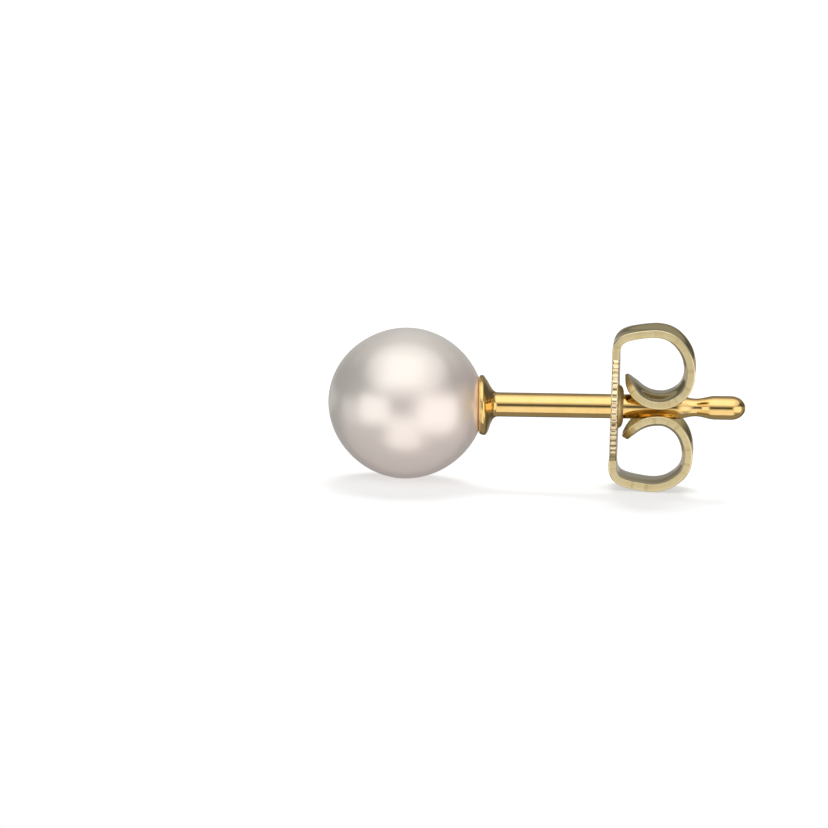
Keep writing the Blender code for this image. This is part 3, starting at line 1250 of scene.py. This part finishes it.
@dataclass
class Studio:
    """Floor, surroundings and camera."""

    centre: Vector
    distance: float = 500 * MM
    pixels_per_mm: float = 25.03
    picture: int = 828
    elevation: float = 7.8
    azimuth: float = -1.7
    roll: float = 2.27
    aim_x: float = 0.36 * MM
    aim_z: float = -0.43 * MM
    front_level: float = 0.10
    back_level: float = 0.28
    panel_size: tuple[float, float] = (0.128, 0.095)
    panel_distance: float = 0.3
    panel_elevation: float = 46.0
    panel_power: float = 0.76
    # azimuth, elevation, half width, half height, level, then how soft sides, top and foot are
    boxes: tuple[Softbox, ...] = (
        Softbox(-9.0, 58.0, 35.0, 31.0, 1.32, 0.5, 0.13, 0.42),
        Softbox(-2.0, 65.0, 50.0, 47.0, 0.98, 0.5, 0.5, 0.6),
        Softbox(-46.0, -7.5, 24.0, 21.5, 1.16, 0.13, 0.08, 0.6),
        Softbox(-83.0, -12.5, 21.0, 16.0, 0.54, 0.24, 0.23, 0.6),
        Softbox(49.5, -9.5, 35.5, 28.5, 1.20, 0.5, 0.21, 0.6),
        Softbox(87.0, -20.0, 27.0, 31.0, 0.36, 0.1, 0.09, 0.6),
        Softbox(-1.5, -39.5, 26.0, 30.0, 1.02, 0.5, 0.5, 0.27),
        Softbox(0.0, -75.0, 75.0, 60.0, 0.27, 0.5, 0.5, 0.5),
        Softbox(180.0, 50.0, 50.0, 14.0, 0.30, 0.3, 0.3, 0.3),
        Softbox(180.0, -6.0, 60.0, 8.0, 0.42, 0.3, 0.3, 0.3),
    )

    def floor(self) -> bpy.types.Object:
        """Lay the white sweep.

        Returns:
            The floor, a sheet that curves up far behind.
        """
        size, bend = 1.2, 0.3
        rows = [(-size, 0.0), *[(size - bend * (1 - math.sin(t)), bend * (1 - math.cos(t)))
                                for t in np.linspace(0, math.pi / 2, 24)], (size, size)]
        points = [(x, y, z) for y, z in rows for x in (-size, size)]
        faces = [(2 * k, 2 * k + 1, 2 * k + 3, 2 * k + 2) for k in range(len(rows) - 1)]
        mesh = bpy.data.meshes.new("white_sweep")
        mesh.from_pydata(points, [], faces)
        mesh.polygons.foreach_set("use_smooth", [True] * len(faces))
        mesh.materials.append(FloorPaint("white paper", (0.45, 0.45, 0.45),
                                         (0.44, 0.44, 0.44), 0.9).build())
        made = bpy.data.objects.new("white_sweep", mesh)
        made.visible_glossy = False
        bpy.context.scene.collection.objects.link(made)
        return made

    def light(self) -> None:
        """Set the surroundings, and a panel high behind that throws the shadow forward."""
        world = bpy.data.worlds.new("studio")
        world.use_nodes = True
        bpy.context.scene.world = world
        bench = Bench(world.node_tree)
        direction = bench.add("TexCoord").outputs["Generated"]
        split = bench.add("SeparateXYZ", {0: direction})
        level = bench.ranged(split.outputs[1], 0.72, 0.98, self.front_level, self.back_level)
        for box in self.boxes:
            level = bench.maths("MAXIMUM", level, box.mask(bench, direction))
        sky = bench.add("Background", {"Color": (1.0, 0.995, 0.985, 1.0), "Strength": level})
        bench.add("OutputWorld", {"Surface": sky.outputs[0]})

        panel = bpy.data.lights.new("back_panel", "AREA")
        panel.shape = "RECTANGLE"
        panel.size, panel.size_y = self.panel_size
        panel.energy = self.panel_power
        made = bpy.data.objects.new("back_panel", panel)
        rise = math.radians(self.panel_elevation)
        away = Vector((0.0, math.cos(rise), math.sin(rise)))
        made.matrix_world = (Matrix.Translation(away * self.panel_distance)
                             @ away.to_track_quat("Z", "Y").to_matrix().to_4x4())
        made.visible_glossy = made.visible_camera = False
        bpy.context.scene.collection.objects.link(made)

    def camera(self) -> bpy.types.Object:
        """Set up the camera at the photograph's angle.

        Returns:
            The camera.
        """
        data = bpy.data.cameras.new("camera")
        data.sensor_width = 36.0
        focal = self.pixels_per_mm * self.distance / MM
        data.lens = data.sensor_width * focal / self.picture
        data.clip_start, data.clip_end = 0.01, 20.0
        made = bpy.data.objects.new("camera", data)
        a, e = math.radians(self.azimuth), math.radians(self.elevation)
        back = Vector((-math.sin(a) * math.cos(e), -math.cos(a) * math.cos(e), math.sin(e)))
        target = self.centre + Vector((self.aim_x, 0.0, self.aim_z))
        turn = (-back).to_track_quat("-Z", "Y").to_matrix().to_4x4()
        roll = Matrix.Rotation(math.radians(self.roll), 4, "Z")
        made.matrix_world = Matrix.Translation(target + back * self.distance) @ turn @ roll
        bpy.context.scene.collection.objects.link(made)
        bpy.context.scene.camera = made
        return made


def main() -> None:
    """Build the earring and the studio."""
    logging.basicConfig(level=logging.INFO, format="%(name)s: %(message)s")
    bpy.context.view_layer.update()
    bpy.context.scene.view_settings.view_transform = "Standard"

    pearl = Pearl()
    placement = Placement(pearl.half_length)
    post = PostAndCup(pearl)
    nut = EarNut(post.radius)
    # The pearl's two colours are the pinker and the greener ends of its painted tint of warm
    # bounce and cup reflection, mixed with its own random clouds.
    pearl.build(placement, Nacre("nacre", (0.98, 0.85, 0.79), (0.915, 0.86, 0.795), 0.305))
    post.build(placement, PolishedGold("polished yellow gold", (0.97, 0.68, 0.28),
                                       (0.94, 0.64, 0.24), 0.06))
    nut.build(placement, (
        StampedGold("pale rolled gold", (0.91, 0.76, 0.43), (0.86, 0.72, 0.40), 0.09),
        ShearedEdge("sheared gold edge", (0.90, 0.76, 0.45), (0.84, 0.70, 0.38), 0.50, 3.0, 0.35),
        ShearedEdge("knurled gold rim", (0.95, 0.80, 0.51), (0.86, 0.68, 0.42), 0.20, 4.0, 0.45)))

    studio = Studio(placement.matrix.translation)
    studio.floor()
    studio.light()
    studio.camera()


if __name__ == "__main__":
    main()
